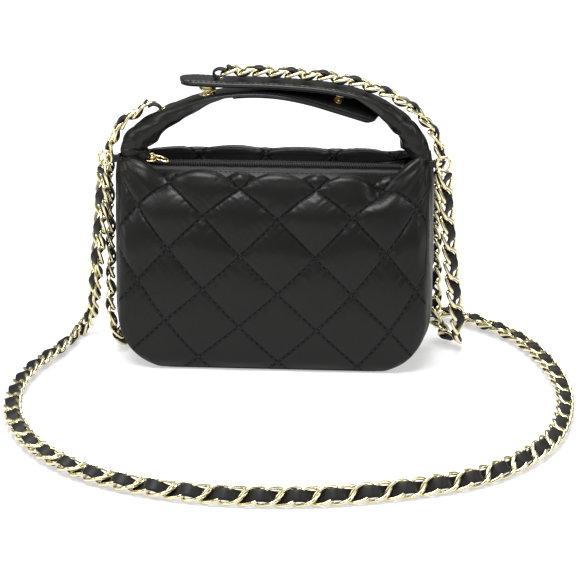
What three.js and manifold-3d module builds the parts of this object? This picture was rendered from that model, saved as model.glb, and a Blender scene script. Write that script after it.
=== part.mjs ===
// A small quilted leather crossbody purse with a strap handle and a gold-tone chain.
// Millimetres, +Z up. The origin is the middle of the base's underside, +X runs to the right as seen
// from the front, and the front panel faces -Y.
import * as THREE from "three";
import { mergeVertices } from "three/addons/utils/BufferGeometryUtils.js";
import Module from "manifold-3d";

const wasm = await Module();
wasm.setup();

// ---------------------------------------------------------------- driving dimensions
const GAP = 0.3; // left between pieces that touch
const HALF_WIDTH = 97.5; // to the side seams
const CORNER_RADIUS = 30; // lower corners, seen from the front
const RIDGE_HEIGHT = 132; // top of the front and back panels in the middle
const HORN_HEIGHT = 138; // top of the side seams, where the handle starts
const BASE_HALF_DEPTH = 28;
const MOUTH_HALF_DEPTH = 22; // at the middle of the mouth
const HORN_HALF_DEPTH = 3;
const LEATHER = 1.4; // thickness of the shell leather
const WADDING = 3; // thickness of the quilting wadding
const LINING = 0.8;

const ZIP_HEIGHT = 127; // middle of the zip tape's thickness
const ZIP_HINGE_Y = 9.5; // where each tape half is sewn to its facing
const ZIP_HALF_LENGTH = 81.5;
const SLIDER_REST_X = -79;

const STRAP_HALF_WIDTH = 10;

const CHAIN_RADIUS = 4.5; // half the width of the woven chain
const CHAIN_SIDES = 8;
const CHAIN_STEP = 24; // length of one straight piece of the chain's tube

// ---------------------------------------------------------------- colours and finishes
const finish = (color, roughness, metalness) => ({ color, roughness, metalness });
const BLACK_LEATHER = finish(0x242423, 0.42, 0);
const LINING_CLOTH = finish(0x1b1b1d, 0.9, 0);
const WHITE_WADDING = finish(0xd9d6cf, 0.95, 0);
const BOARD = finish(0x8a7458, 0.8, 0);
const TAPE_CLOTH = finish(0x161616, 0.85, 0);
const BLACK_NYLON = finish(0x1c1c1c, 0.5, 0);
const PALE_GOLD = finish(0xdcc88a, 0.25, 1);
const WOVEN_CHAIN = finish(0xcdbb83, 0.35, 0.8);

const purse = new THREE.Group();

function addPiece(name, geometry, look) {
  const mesh = new THREE.Mesh(geometry, new THREE.MeshStandardMaterial(look));
  mesh.name = name;
  purse.add(mesh);
  return mesh;
}

// ---------------------------------------------------------------- geometry helpers
const lerp = THREE.MathUtils.lerp;

// Turns the faces round when they enclose a negative volume.
function facingOut(positions, index) {
  const [a, b, c] = [new THREE.Vector3(), new THREE.Vector3(), new THREE.Vector3()];
  let volume = 0;
  for (let i = 0; i < index.length; i += 3) {
    a.fromArray(positions, 3 * index[i]);
    b.fromArray(positions, 3 * index[i + 1]);
    c.fromArray(positions, 3 * index[i + 2]);
    volume += a.dot(b.cross(c));
  }
  if (volume < 0) index.reverse();
  const geometry = new THREE.BufferGeometry();
  geometry.setAttribute("position", new THREE.Float32BufferAttribute(positions, 3));
  geometry.setIndex(index);
  geometry.computeVertexNormals();
  return geometry;
}

// A closed sheet between two surfaces that are drawn over the same grid. Each surface is a function of
// a and b, both from 0 to 1, that returns a point.
function sheet(stepsA, stepsB, outer, inner) {
  const positions = [];
  const index = [];
  const row = stepsB + 1;
  const layer = (stepsA + 1) * row;
  for (const surface of [outer, inner]) {
    for (let i = 0; i <= stepsA; i++) {
      for (let j = 0; j <= stepsB; j++) positions.push(...surface(i / stepsA, j / stepsB));
    }
  }
  const quad = (p, q, r, s) => index.push(p, q, r, p, r, s);
  for (let i = 0; i < stepsA; i++) {
    for (let j = 0; j < stepsB; j++) {
      const p = i * row + j;
      quad(p, p + row, p + row + 1, p + 1);
      quad(layer + p, layer + p + 1, layer + p + row + 1, layer + p + row);
    }
  }
  const rim = [];
  for (let i = 0; i < stepsA; i++) rim.push(i * row);
  for (let j = 0; j < stepsB; j++) rim.push(stepsA * row + j);
  for (let i = stepsA; i > 0; i--) rim.push(i * row + stepsB);
  for (let j = stepsB; j > 0; j--) rim.push(j);
  rim.forEach((p, k) => {
    const q = rim[(k + 1) % rim.length];
    quad(q, p, layer + p, layer + q);
  });
  return facingOut(positions, index);
}

// A closed solid through rings of points, with a fan at each end. ring(a) returns the points of the ring
// at a, from 0 to 1, always the same number of them.
function loft(steps, ring) {
  const rings = Array.from({ length: steps + 1 }, (_, i) => ring(i / steps));
  const sides = rings[0].length;
  const positions = rings.flat(2);
  const index = [];
  for (let i = 0; i < steps; i++) {
    for (let k = 0; k < sides; k++) {
      const p = i * sides + k;
      const q = i * sides + ((k + 1) % sides);
      index.push(p, q, q + sides, p, q + sides, p + sides);
    }
  }
  for (let k = 1; k < sides - 1; k++) {
    index.push(0, k + 1, k);
    const last = steps * sides;
    index.push(last, last + k, last + k + 1);
  }
  return facingOut(positions, index);
}

function boxBetween(low, high) {
  const size = high.map((value, axis) => value - low[axis]);
  const middle = high.map((value, axis) => (value + low[axis]) / 2);
  return new THREE.BoxGeometry(...size).translate(...middle);
}

// A plate with an outline in X and Y, from height low to height high.
function plate(outline, low, high) {
  const shape = new THREE.Shape(outline.map(([x, y]) => new THREE.Vector2(x, y)));
  const geometry = new THREE.ExtrudeGeometry(shape, { depth: high - low, bevelEnabled: false });
  return geometry.translate(0, 0, low);
}

function asSolid(geometry) {
  const bare = geometry.clone();
  bare.deleteAttribute("normal");
  bare.deleteAttribute("uv");
  const merged = mergeVertices(bare, 1e-4);
  const vertProperties = new Float32Array(merged.attributes.position.array);
  const triVerts = new Uint32Array(merged.index.array);
  return new wasm.Manifold(new wasm.Mesh({ numProp: 3, vertProperties, triVerts }));
}

function asGeometry(solid) {
  const mesh = solid.getMesh();
  const geometry = new THREE.BufferGeometry();
  geometry.setAttribute("position", new THREE.BufferAttribute(mesh.vertProperties, 3));
  geometry.setIndex(new THREE.BufferAttribute(mesh.triVerts, 1));
  geometry.computeVertexNormals();
  return geometry;
}

const subtract = (body, tool) => asGeometry(asSolid(body).subtract(asSolid(tool)));
const join = (one, other) => asGeometry(asSolid(one).add(asSolid(other)));

// ---------------------------------------------------------------- the bag's form
// Height of the panels' top edge: level in the middle, rising into the two horns.
function topHeight(x) {
  return RIDGE_HEIGHT + (HORN_HEIGHT - RIDGE_HEIGHT) * Math.abs(x / HALF_WIDTH) ** 6;
}

// Half the width of the front view at height z: straight sides over two round lower corners.
function halfWidth(z) {
  const below = Math.max(0, CORNER_RADIUS - z);
  return HALF_WIDTH - CORNER_RADIUS + Math.sqrt(CORNER_RADIUS ** 2 - below ** 2);
}

// Half the depth along the side seams: full low down, folding in to the horns.
function seamHalfDepth(z) {
  const FOLD_START = 35;
  const rise = Math.max(0, (z - FOLD_START) / (HORN_HEIGHT - FOLD_START));
  return BASE_HALF_DEPTH - (BASE_HALF_DEPTH - HORN_HALF_DEPTH) * Math.min(1, rise) ** 1.8;
}

// Half the depth in the middle of the panels: a soft belly below the mouth.
function bellyHalfDepth(z) {
  const BELLY = 32;
  const rise = z / RIDGE_HEIGHT;
  const pull = BASE_HALF_DEPTH + BELLY - MOUTH_HALF_DEPTH;
  return BASE_HALF_DEPTH + BELLY * rise - pull * rise ** 2;
}

function halfDepth(x, z) {
  const seam = seamHalfDepth(z);
  const across = 1 - Math.abs(x / HALF_WIDTH) ** 4;
  return seam + (bellyHalfDepth(Math.min(z, RIDGE_HEIGHT)) - seam) * across;
}

// One layer of the front (side = -1) or back (side = 1) wall. It starts at depth start inside the outer
// surface, and is inset from the outline by inset at the sides and by extra more at the top.
function wallLayer(side, { start, thickness, inset, extra, bottom, below, stepsX, stepsZ }) {
  const at = (a, b, depth) => {
    const level = lerp(bottom, RIDGE_HEIGHT, b ** 1.4);
    const rise = level / RIDGE_HEIGHT;
    const x = (2 * a - 1) * (halfWidth(level) - inset - extra * rise ** 3);
    const z = lerp(bottom, topHeight(x) - below, (level - bottom) / (RIDGE_HEIGHT - bottom));
    return [x, side * (halfDepth(x, z) - depth), z];
  };
  const outer = (a, b) => at(a, b, start);
  const inner = (a, b) => at(a, b, start + thickness);
  return sheet(stepsX, stepsZ, outer, inner);
}

const SHELL = { start: 0, thickness: LEATHER, inset: 0, extra: 0, bottom: 0.5, below: 0 };
const FILLING = { start: LEATHER + GAP, thickness: WADDING, inset: 4, extra: 12, bottom: 7, below: 9 };
const INSIDE = { ...FILLING, start: LEATHER + WADDING + 2 * GAP, thickness: LINING };
for (const [wall, side] of [["front", -1], ["back", 1]]) {
  addPiece(`${wall}_panel`, wallLayer(side, { ...SHELL, stepsX: 22, stepsZ: 14 }), BLACK_LEATHER);
  addPiece(`${wall}_padding`, wallLayer(side, { ...FILLING, stepsX: 14, stepsZ: 9 }), WHITE_WADDING);
  addPiece(`${wall}_lining`, wallLayer(side, { ...INSIDE, stepsX: 12, stepsZ: 8 }), LINING_CLOTH);
}

// ---------------------------------------------------------------- gussets
// A strip that runs round a lower corner and up the side to the horn, between the two panels.
function gussetLayer(side, { start, thickness, inset, top, stepsAlong, stepsAcross }) {
  const BULGE = 3;
  const corner = (CORNER_RADIUS * Math.PI) / 2;
  const total = corner + top - CORNER_RADIUS;
  const at = (a, b, depth) => {
    const along = a * total;
    const turn = Math.min(along, corner) / CORNER_RADIUS;
    const seamX = HALF_WIDTH - CORNER_RADIUS + CORNER_RADIUS * Math.sin(turn);
    const seamZ = CORNER_RADIUS * (1 - Math.cos(turn)) + Math.max(0, along - corner);
    const half = seamHalfDepth(seamZ) - LEATHER - GAP - inset;
    const across = 2 * b - 1;
    const fullness = Math.min(1, seamZ / CORNER_RADIUS) * Math.min(1, half / 10);
    const out = BULGE * fullness * (1 - across ** 2) - depth;
    return [side * (seamX + out * Math.sin(turn)), across * half, seamZ - out * Math.cos(turn)];
  };
  const outer = (a, b) => at(a, b, start);
  const inner = (a, b) => at(a, b, start + thickness);
  return sheet(stepsAlong, stepsAcross, outer, inner);
}

const GUSSET_SHELL = { start: 0, thickness: LEATHER, inset: 0, top: HORN_HEIGHT };
const GUSSET_INSIDE = { start: LEATHER + GAP, thickness: LINING, inset: 7, top: 100 };
for (const [end, side] of [["left", -1], ["right", 1]]) {
  const shell = gussetLayer(side, { ...GUSSET_SHELL, stepsAlong: 14, stepsAcross: 6 });
  const inside = gussetLayer(side, { ...GUSSET_INSIDE, stepsAlong: 10, stepsAcross: 4 });
  addPiece(`gusset_${end}`, shell, BLACK_LEATHER);
  addPiece(`gusset_lining_${end}`, inside, LINING_CLOTH);
}

// ---------------------------------------------------------------- base
function baseLayer(insetX, insetY, low, high) {
  const x = HALF_WIDTH - CORNER_RADIUS - insetX;
  const y = BASE_HALF_DEPTH - LEATHER - insetY;
  return boxBetween([-x, -y, low], [x, y, high]);
}

const BOARD_BOTTOM = LEATHER + GAP;
const BOARD_TOP = BOARD_BOTTOM + 2;
addPiece("base_panel", baseLayer(GAP, GAP, 0, LEATHER), BLACK_LEATHER);
addPiece("base_board", baseLayer(2, 2, BOARD_BOTTOM, BOARD_TOP), BOARD);
addPiece("base_lining", baseLayer(1, 1, BOARD_TOP + GAP, BOARD_TOP + GAP + LINING), LINING_CLOTH);

// ---------------------------------------------------------------- mouth and zip
// Each facing runs from just under the panel's ridge down to the line that its zip tape is sewn to.
function facing(side) {
  const THICKNESS = 1.2;
  const SEW_Y = ZIP_HINGE_Y + 0.7;
  const at = (a, b, drop) => {
    const x = (2 * a - 1) * ZIP_HALF_LENGTH;
    const ridgeY = halfDepth(x, topHeight(x)) - LEATHER - 0.5;
    return [x, side * lerp(ridgeY, SEW_Y, b), lerp(topHeight(x) - 0.8, ZIP_HEIGHT + 0.6, b) - drop];
  };
  const outer = (a, b) => at(a, b, 0);
  const inner = (a, b) => at(a, b, THICKNESS);
  return sheet(16, 2, outer, inner);
}

const TAPE_BOTTOM = ZIP_HEIGHT - 0.4;
const TAPE_TOP = ZIP_HEIGHT + 0.4;
const TEETH_BOTTOM = TAPE_TOP + GAP;
const TEETH_TOP = TEETH_BOTTOM + 1.5;

// A band beside the zip's centre line, as long as the zip less inset at each end.
function zipBand(side, nearY, farY, inset, low, high) {
  const x = ZIP_HALF_LENGTH - inset;
  const [y0, y1] = side < 0 ? [-farY, -nearY] : [nearY, farY];
  return boxBetween([-x, y0, low], [x, y1, high]);
}

for (const [wall, side] of [["front", -1], ["back", 1]]) {
  const tape = zipBand(side, 1.6, ZIP_HINGE_Y - 0.2, 0, TAPE_BOTTOM, TAPE_TOP);
  addPiece(`mouth_facing_${wall}`, facing(side), BLACK_LEATHER);
  addPiece(`${wall}_zip_tape`, tape, TAPE_CLOTH);
  addPiece(`${wall}_zip_teeth`, zipBand(side, 1, 3, 1, TEETH_BOTTOM, TEETH_TOP), BLACK_NYLON);
}

// Leather tabs that cover the ends of the zip, narrowing towards the horns.
for (const [end, side] of [["left", -1], ["right", 1]]) {
  const near = side * (ZIP_HALF_LENGTH + 0.8);
  const far = side * (ZIP_HALF_LENGTH + 10);
  const outline = [[near, -6], [far, -3], [far, 3], [near, 6]];
  const ordered = side > 0 ? outline : outline.toReversed();
  addPiece(`zip_end_${end}`, plate(ordered, ZIP_HEIGHT - 0.8, ZIP_HEIGHT + 0.8), BLACK_LEATHER);
}

// The slider's top plate rides above the teeth, and its post stands between the two rows.
const PLATE_BOTTOM = TEETH_TOP + 0.4;
const PLATE_TOP = PLATE_BOTTOM + 1.2;
const BRIDGE_X = SLIDER_REST_X + 1;
const PULL_AXIS_HEIGHT = PLATE_TOP + 1.3;
function slider() {
  const x = SLIDER_REST_X;
  const [tail, waist, nose] = [x - 4.5, x - 1, x + 4.5];
  const outline = [[tail, -2.2], [waist, -3.5], [nose, -3.2], [nose, 3.2], [waist, 3.5], [tail, 2.2]];
  const post = boxBetween([x - 1.5, -0.4, ZIP_HEIGHT - 1], [x + 1.5, 0.4, PLATE_BOTTOM + 0.2]);
  const bridge = boxBetween([BRIDGE_X - 2.4, -0.7, PLATE_TOP - 0.2], [BRIDGE_X + 2.4, 0.7, PLATE_TOP + 3]);
  const eye = new THREE.CylinderGeometry(1.1, 1.1, 3, 12).translate(BRIDGE_X, 0, PULL_AXIS_HEIGHT);
  const body = join(join(plate(outline, PLATE_BOTTOM, PLATE_TOP), post), bridge);
  return subtract(body, eye);
}
addPiece("zip_slider", slider(), PALE_GOLD);

// The pull is a flat tongue with a pin that turns in the slider's eye and a slot that clears the bridge.
function pullTab() {
  const LENGTH = 13;
  const HALF = 2.6;
  const THICKNESS = 0.9;
  const tongue = boxBetween([0, -HALF, -THICKNESS / 2], [LENGTH, HALF, THICKNESS / 2]);
  const slot = boxBetween([-1, -1.1, -1], [3.4, 1.1, 1]);
  const pin = new THREE.CylinderGeometry(0.6, 0.6, 2 * HALF, 8);
  return join(subtract(tongue, slot), pin).translate(BRIDGE_X, 0, PULL_AXIS_HEIGHT);
}
addPiece("pull_tab", pullTab(), PALE_GOLD);

// ---------------------------------------------------------------- straps
// A strap follows a line in the XZ plane that is its outer face. section(a) gives the half width, the
// thickness and how round the section is there: 1 is an ellipse, and less is closer to a flat band.
function strap(points, steps, sides, section) {
  const route = new THREE.CatmullRomCurve3(points.map(([x, z]) => new THREE.Vector3(x, 0, z)));
  const across = new THREE.Vector3(0, 1, 0);
  const squared = (value, power) => Math.sign(value) * Math.abs(value) ** power;
  return loft(steps, (a) => {
    const { half, thickness, round, depth = 0 } = section(a, route.getLength());
    const inward = new THREE.Vector3().crossVectors(across, route.getTangentAt(a)).normalize();
    const centre = route.getPointAt(a).addScaledVector(inward, depth + thickness / 2);
    return Array.from({ length: sides }, (_, k) => {
      const angle = ((k + 0.5) * 2 * Math.PI) / sides;
      const y = half * squared(Math.cos(angle), round);
      const out = (thickness / 2) * squared(Math.sin(angle), round);
      return centre.clone().addScaledVector(inward, out).setY(y).toArray();
    });
  });
}

// The half width of a band with a round tip, at a distance from that tip.
function roundTip(distance, half) {
  const inside = Math.max(0, half - distance);
  return Math.max(half * 0.35, Math.sqrt(half ** 2 - inside ** 2));
}

// From the horn to the tip, both straps go from a rolled foot to a flat band.
const FOOT_LENGTH = 34;
const FOOT_THICKNESS = 14;
const FOOT_HALF_WIDTH = 6.5;
const BAND_THICKNESS = 2.4;
function outerBand(fromHorn, toTip) {
  const rolled = Math.max(0, 1 - fromHorn / FOOT_LENGTH) ** 1.5;
  return {
    half: Math.min(lerp(STRAP_HALF_WIDTH, FOOT_HALF_WIDTH, rolled), roundTip(toTip, STRAP_HALF_WIDTH)),
    thickness: lerp(BAND_THICKNESS, FOOT_THICKNESS, rolled),
    round: lerp(0.35, 1, Math.min(1, 2 * rolled)),
  };
}

// The lining is a thinner band under the outer one, along its flat stretch.
const LINING_THICKNESS = 1.2;
function liningBand(toTip, toFoot) {
  const half = Math.min(roundTip(toTip, STRAP_HALF_WIDTH - 1), roundTip(toFoot, STRAP_HALF_WIDTH - 1));
  return { half, thickness: LINING_THICKNESS, round: 0.35, depth: BAND_THICKNESS + GAP };
}

// The under-strap comes up from the left horn, the over-strap from the right horn, and each list of
// points (x, z) runs from left to right.
const UNDER_LINE = [
  [-95, 139], [-92, 148], [-84, 156.5], [-73, 165], [-59, 172.5], [-41, 178.3],
  [-18, 181.2], [5, 182], [25, 179.4], [45, 172.8], [66, 164],
];
const UNDER_LINING_LINE = UNDER_LINE.slice(4);
const OVER_LINE = [
  [-59, 186.5], [-30, 187], [5, 186.8], [40, 184.3], [64, 176.8], [83, 166], [92.5, 154], [95.6, 140],
];
const OVER_LINING_LINE = OVER_LINE.slice(0, 5);

// The sections of the two straps and of their linings, at a part a of the line's length.
const underSection = (a, length) => outerBand(a * length, (1 - a) * length);
const overSection = (a, length) => outerBand((1 - a) * length, a * length);
const underLiningSection = (a, length) => liningBand((1 - a) * length, a * length);
const overLiningSection = (a, length) => liningBand(a * length, (1 - a) * length);
const underStrap = strap(UNDER_LINE, 26, 12, underSection);
const overStrap = strap(OVER_LINE, 26, 12, overSection);
const underLining = strap(UNDER_LINING_LINE, 14, 8, underLiningSection);
const overLining = strap(OVER_LINING_LINE, 12, 8, overLiningSection);

// ---------------------------------------------------------------- eyelets, where the chains end
const EYELET_BORE = 2.6;
const EYELET_BARREL = 3.4;
const EYELET_FLANGE = 5.4;
const EYELET_DEPTH = BAND_THICKNESS + 0.6;
const EYELET_LIP = 0.9;

function eyelet() {
  const profile = [
    [EYELET_BORE, -EYELET_DEPTH], [EYELET_BARREL, -EYELET_DEPTH], [EYELET_BARREL, GAP],
    [EYELET_FLANGE, GAP], [EYELET_FLANGE, GAP + EYELET_LIP], [EYELET_BORE, GAP + EYELET_LIP],
    [EYELET_BORE, -EYELET_DEPTH],
  ];
  const lathe = new THREE.LatheGeometry(profile.map(([r, y]) => new THREE.Vector2(r, y)), 16);
  return lathe.rotateX(Math.PI / 2);
}

// Puts a piece made about the Z axis on a strap's outer face, leaning by lean about the Y axis.
function onStrap(geometry, x, z, lean) {
  return geometry.rotateY(lean).translate(x, 0, z);
}

const eyeletHole = () => new THREE.CylinderGeometry(4, 4, 14, 16).rotateX(Math.PI / 2);
const OVER_EYELET = [-33, 187, 0];
const UNDER_EYELET = [-70, 166.9, -0.56];
addPiece("under_strap", subtract(underStrap, onStrap(eyeletHole(), ...UNDER_EYELET)), BLACK_LEATHER);
addPiece("under_strap_lining", underLining, BLACK_LEATHER);
addPiece("under_eyelet", onStrap(eyelet(), ...UNDER_EYELET), PALE_GOLD);
addPiece("over_strap", subtract(overStrap, onStrap(eyeletHole(), ...OVER_EYELET)), BLACK_LEATHER);
const overLiningHole = onStrap(eyeletHole(), ...OVER_EYELET);
addPiece("over_strap_lining", subtract(overLining, overLiningHole), BLACK_LEATHER);
addPiece("over_eyelet", onStrap(eyelet(), ...OVER_EYELET), PALE_GOLD);

// ---------------------------------------------------------------- snaps
// A socket under the over-strap faces a stud on the under-strap.
const SNAP_RADIUS = 4.6;
function turned(profile, segments) {
  const points = profile.map(([r, y]) => new THREE.Vector2(r, y));
  return new THREE.LatheGeometry(points, segments).rotateX(Math.PI / 2);
}

// The stud has a flat flange and a round-topped ball of its own height.
function snapStud(height) {
  const BALL_RADIUS = 1.9;
  return turned([
    [0, 0], [SNAP_RADIUS, 0], [SNAP_RADIUS, 0.8], [BALL_RADIUS, 0.9],
    [BALL_RADIUS, height - 0.5], [BALL_RADIUS * 0.6, height], [0, height],
  ], 16);
}

const SOCKET_HEIGHT = 1.6;
const snapSocket = () => turned([
  [0, 0], [SNAP_RADIUS - 0.6, 0], [SNAP_RADIUS, 0.5], [SNAP_RADIUS, SOCKET_HEIGHT], [0, SOCKET_HEIGHT],
], 16);

const OVER_UNDERSIDE = BAND_THICKNESS + LINING_THICKNESS + 2 * GAP;
const SNAPS = [
  { end: "left", socket: [-44, 187, 0], stud: [-44, 177.6, -0.24], height: 2.2 },
  { end: "right", socket: [43, 183.6, 0.24], stud: [41.2, 174.4, 0.28], height: 2 },
];

// ---------------------------------------------------------------- rings on the horns
const RING_WIRE = 0.9;
const RING_RADIUS = 4.2;
const RING_CENTRE = [106.5, -5.2, 132.5];
function ring(wire) {
  return new THREE.TorusGeometry(RING_RADIUS, wire, 8, 20).rotateX(Math.PI / 2);
}

function ringTab() {
  const [, y, z] = RING_CENTRE;
  const tab = boxBetween([HALF_WIDTH + 1.9, y - 0.5, z - 2.5], [103.6, y + 4.2, z + 2.5]);
  return subtract(tab, ring(RING_WIRE + GAP).translate(...RING_CENTRE));
}

// ---------------------------------------------------------------- assembly of the small pieces
for (const { end, socket, stud, height } of SNAPS) {
  const disc = snapSocket().translate(0, 0, -SOCKET_HEIGHT - OVER_UNDERSIDE);
  addPiece(`snap_socket_${end}`, onStrap(disc, ...socket), PALE_GOLD);
  addPiece(`snap_stud_${end}`, onStrap(snapStud(height).translate(0, 0, GAP), ...stud), PALE_GOLD);
}

// ---------------------------------------------------------------- chains
// The chain's loose stretches, as tubes of its width.
function chain(points) {
  const through = points.map((point) => new THREE.Vector3(...point));
  const curve = new THREE.CatmullRomCurve3(through, false, "centripetal");
  const section = new THREE.Shape();
  for (let k = 0; k < CHAIN_SIDES; k++) {
    const angle = ((k + 0.5) * 2 * Math.PI) / CHAIN_SIDES;
    const [x, y] = [CHAIN_RADIUS * Math.cos(angle), CHAIN_RADIUS * Math.sin(angle)];
    if (k === 0) section.moveTo(x, y);
    else section.lineTo(x, y);
  }
  const steps = Math.max(3, Math.round(curve.getLength() / CHAIN_STEP));
  return new THREE.ExtrudeGeometry(section, { steps, extrudePath: curve, bevelEnabled: false });
}

const FLOOR = CHAIN_RADIUS + 0.05;
const CHAINS = {
  chain_left_drop: [
    [-107, -6, 126], [-109, -5, 107], [-111, -4, 86], [-113.5, -2.5, 65], [-116.5, 5, 45],
    [-119.5, 18, 26], [-124, 28, 12],
  ],
  chain_floor_loop: [
    [-128, 33, FLOOR], [-131, 20, FLOOR], [-139, -9, FLOOR], [-150.5, -41, FLOOR], [-155.5, -80, FLOOR],
    [-150, -125, FLOOR], [-128, -172, FLOOR], [-93, -206, FLOOR], [-38, -228, FLOOR], [24, -232, FLOOR],
    [83, -219, FLOOR], [135, -194, FLOOR], [170, -148, FLOOR], [183, -90, FLOOR], [180, -38, FLOOR],
    [160, 22, FLOOR], [134, 54, FLOOR], [107, 72, FLOOR], [78, 74, FLOOR], [45, 62, FLOOR], [5, 54, FLOOR],
    [-35, 52, FLOOR], [-68, 50, FLOOR],
  ],
  chain_left_rise: [
    [-71, 49.6, FLOOR], [-85, 44, FLOOR], [-94, 32, FLOOR], [-97.5, 17, 5], [-99, 5, 9], [-104.8, -1, 20],
    [-106, 2, 40], [-105.8, 6.5, 60], [-105.6, 6, 80], [-105.6, 5.5, 100], [-105, 5, 117], [-103.4, 4, 130],
  ],
  chain_right_loop: [
    [107.5, -5.2, 126], [108.5, -4, 107], [110.5, -2, 85], [113, 1, 60], [115.5, 5, 38], [118, 10, 18],
    [117, 18, 7.5], [112.5, 26, 5], [107.5, 33, 6.5], [103.8, 36, 13], [102.6, 34, 26], [102.3, 30, 46],
    [102.3, 27, 68], [102.3, 23, 90], [102.6, 15, 110], [103.4, 8, 122], [103.9, 5, 130],
  ],
  chain_under_strap: [
    [-78, 2, 169.4], [-88.5, 2, 160.8], [-96, 2, 151],
  ],
  chain_over_strap: [
    [-38, 2, 193.2], [-25, 2, 192.4], [5, 2, 192], [40, 2, 189.8], [66.8, 2, 182.6],
    [88.5, 2, 171], [99.5, 2, 157],
  ],
};
for (const [name, points] of Object.entries(CHAINS)) addPiece(name, chain(points), WOVEN_CHAIN);

for (const [end, side] of [["left", -1], ["right", 1]]) {
  const place = new THREE.Matrix4().makeScale(side, 1, 1);
  const wire = addPiece(`ring_${end}`, ring(RING_WIRE).translate(...RING_CENTRE), PALE_GOLD);
  const tab = addPiece(`ring_tab_${end}`, ringTab(), BLACK_LEATHER);
  for (const piece of [wire, tab]) piece.applyMatrix4(place);
}

export default purse;
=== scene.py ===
# A small quilted leather crossbody purse with a strap handle and a woven chain, built on its CAD frame.
# Metres, +Z up, the front faces -Y, and the origin is the middle of the base's underside.
import math

import bpy
import numpy as np
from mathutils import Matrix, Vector, noise


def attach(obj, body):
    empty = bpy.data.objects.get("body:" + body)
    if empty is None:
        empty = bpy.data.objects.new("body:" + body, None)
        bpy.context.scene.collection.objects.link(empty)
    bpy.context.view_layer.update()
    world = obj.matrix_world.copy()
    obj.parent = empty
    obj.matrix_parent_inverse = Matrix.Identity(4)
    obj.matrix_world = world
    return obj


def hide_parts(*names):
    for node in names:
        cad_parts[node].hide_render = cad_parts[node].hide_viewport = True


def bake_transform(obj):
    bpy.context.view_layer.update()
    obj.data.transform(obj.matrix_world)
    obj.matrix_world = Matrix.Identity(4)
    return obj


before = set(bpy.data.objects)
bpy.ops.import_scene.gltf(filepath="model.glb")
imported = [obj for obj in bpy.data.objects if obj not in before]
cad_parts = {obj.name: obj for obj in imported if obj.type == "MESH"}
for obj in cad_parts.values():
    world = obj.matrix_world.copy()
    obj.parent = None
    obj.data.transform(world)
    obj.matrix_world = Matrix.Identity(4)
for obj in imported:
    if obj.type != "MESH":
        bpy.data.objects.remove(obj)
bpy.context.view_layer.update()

MM = 0.001

# -------- driving sizes
HALF_WIDTH = 97.5 * MM
CORNER_RADIUS = 34 * MM
RIDGE_HEIGHT = 132 * MM
HORN_HEIGHT = 140 * MM
LEFT_HORN_DROP = 6 * MM
BASE_HALF_DEPTH = 28 * MM
MOUTH_HALF_DEPTH = 22 * MM
HORN_HALF_DEPTH = 3 * MM
PANEL_BOTTOM = 0.5 * MM

# Quilting: diamonds this far apart across, in rows this far apart, counted from one crossing.
DIAMOND_WIDTH = 47.5 * MM
ROW_HEIGHT = 23.6 * MM
BACK_NARROWING = 0.92
FRONT_CROSSING = (4 * MM, 7 * MM)
BACK_CROSSING = (-6.5 * MM, -3 * MM)
SIDE_TIGHTENING = 11.6 * MM
SIDE_RISE = 6 * MM
ROW_SLANT = 0.05
LINE_SPACING = 33.5 * MM

# The chain's links and the lace woven through them.
LINK_PITCH = 10.4 * MM
LINK_HALF_LENGTH = 6.2 * MM
LINK_HALF_WIDTH = 5.0 * MM
LINK_TWIST = 1.7 * MM
LINK_SKEW = 0.75  # how far a link leans along the chain, for its width, so that its ends cross in slants
LINK_WIRE = 1.12 * MM
LACE_HALF_WIDTH = 3.75 * MM
LACE_HALF_THICKNESS = 0.75 * MM
LACE_WEAVE = 2.7 * MM


WALLS = (("front", -1), ("back", 1))
ENDS = (("left", -1), ("right", 1))


# -------- small helpers
def vec(*values):
    return np.array(values, float)


def unit(v):
    return v / np.maximum(np.linalg.norm(v, axis=-1, keepdims=True), 1e-12)


def xyz(x, y, z):
    return np.stack([x, y, z], -1)


def bell(distance, width):
    """1 at no distance, and falling away over about a width."""
    return np.exp(-(distance / width) ** 2)


def clamp01(t):
    return np.clip(t, 0.0, 1.0)


def smooth01(t):
    t = clamp01(t)
    return t * t * (3 - 2 * t)


def distances_along(points):
    """The distance of each point of a line from its first point, along the line."""
    return np.concatenate([[0], np.cumsum(np.linalg.norm(np.diff(points, axis=0), axis=1))])


def between_points(s, distances, points):
    """Points of a line at other distances along it."""
    return np.stack([np.interp(s, distances, points[:, k]) for k in range(3)], -1)


def turns(count):
    """Angles once round a circle."""
    return np.linspace(0, 2 * math.pi, count, endpoint=False)


def soft(value, power):
    """A sine or cosine raised to a power, which makes a circle squarer when the power is under 1."""
    return np.sign(value) * np.abs(value) ** power


def wobble(points, size, seed=0.0):
    """Smooth noise from -1 to 1 at each point, with lumps of about that size."""
    flat = np.asarray(points, float).reshape(-1, 3) / size + seed
    values = [noise.noise(Vector(p)) for p in flat]
    return np.array(values).reshape(np.asarray(points).shape[:-1])


def make_mesh(name, verts, faces, material, smooth=True):
    mesh = bpy.data.meshes.new(name)
    mesh.from_pydata([tuple(v) for v in np.asarray(verts, float)], [], [tuple(f) for f in faces])
    mesh.update()
    mesh.polygons.foreach_set("use_smooth", [smooth] * len(mesh.polygons))
    obj = bpy.data.objects.new(name, mesh)
    bpy.context.scene.collection.objects.link(obj)
    mesh.materials.append(material)
    return obj


def grid_faces(rows, cols, closed=False, start=0):
    """Quads over a grid of rows and columns; closed joins the last column to the first."""
    i = np.arange(rows - 1)[:, None]
    j = np.arange(cols if closed else cols - 1)[None, :]
    k = (j + 1) % cols
    quad = [i * cols + j, i * cols + k, (i + 1) * cols + k, (i + 1) * cols + j]
    return (np.stack(np.broadcast_arrays(*quad), -1).reshape(-1, 4) + start).tolist()


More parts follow.
